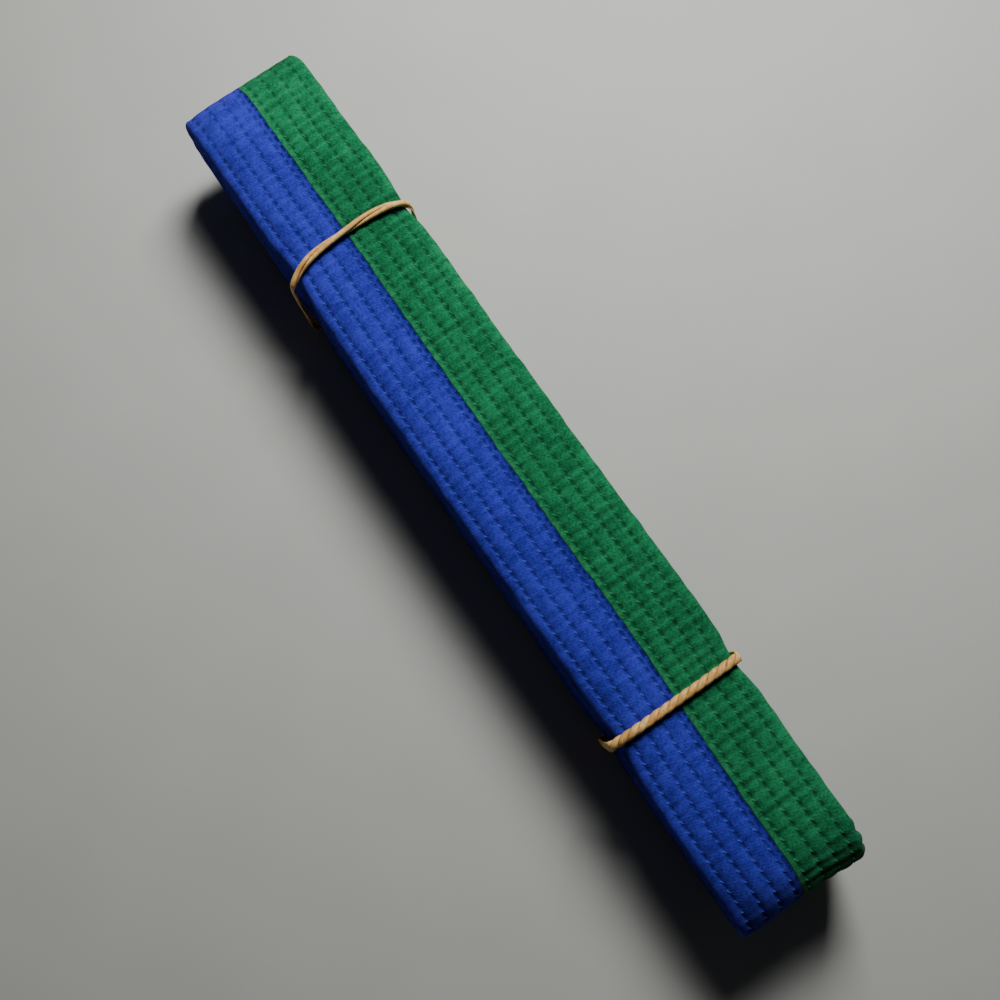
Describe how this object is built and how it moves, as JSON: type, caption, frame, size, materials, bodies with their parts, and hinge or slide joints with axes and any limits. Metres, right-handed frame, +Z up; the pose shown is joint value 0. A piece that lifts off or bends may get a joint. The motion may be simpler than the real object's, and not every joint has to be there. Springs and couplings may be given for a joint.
{
  "type": "martial arts belt",
  "caption": "Two-colour padded cloth belt with rows of quilting stitches, wound flat into a bundle and held by two rubber bands that slide off its ends.",
  "frame": {"origin": "middle of the bundle's footprint, on the surface that it rests on", "axes": "+X along the bundle towards the end with the larger half-turn, +Y across it towards the green half, +Z up"},
  "size_m": [0.278, 0.0438, 0.0405],
  "materials": {
    "blue_cloth": "matt cotton twill",
    "green_cloth": "matt cotton twill",
    "batting": "undyed felted cotton",
    "blue_thread": "spun polyester sewing thread",
    "green_thread": "spun polyester sewing thread",
    "rubber": "natural rubber, semi-matt"
  },
  "bodies": {
    "belt": {"blue_cover": "blue_cloth", "green_cover": "green_cloth", "batting_ply_1": "batting", "batting_ply_2": "batting", "blue_needle_thread_1": "blue_thread", "blue_needle_thread_2": "blue_thread", "blue_needle_thread_3": "blue_thread", "blue_needle_thread_4": "blue_thread", "blue_bobbin_thread_1": "blue_thread", "blue_bobbin_thread_2": "blue_thread", "blue_bobbin_thread_3": "blue_thread", "blue_bobbin_thread_4": "blue_thread", "green_needle_thread_1": "green_thread", "green_needle_thread_2": "green_thread", "green_needle_thread_3": "green_thread", "green_needle_thread_4": "green_thread", "green_bobbin_thread_1": "green_thread", "green_bobbin_thread_2": "green_thread", "green_bobbin_thread_3": "green_thread", "green_bobbin_thread_4": "green_thread", "start_hem_needle_thread": "blue_thread", "start_hem_bobbin_thread": "blue_thread", "tail_hem_needle_thread": "blue_thread", "tail_hem_bobbin_thread": "blue_thread"},
    "left_band": {"rubber_band_left": "rubber"},
    "right_band": {"rubber_band_right": "rubber"}
  },
  "joints": [
    {"name": "left_band_slide", "type": "slide", "parent": "belt", "child": "left_band", "axis": [1, 0, 0], "range_m": [-0.072, 0.06]},
    {"name": "right_band_slide", "type": "slide", "parent": "belt", "child": "right_band", "axis": [1, 0, 0], "range_m": [-0.055, 0.067]}
  ]
}
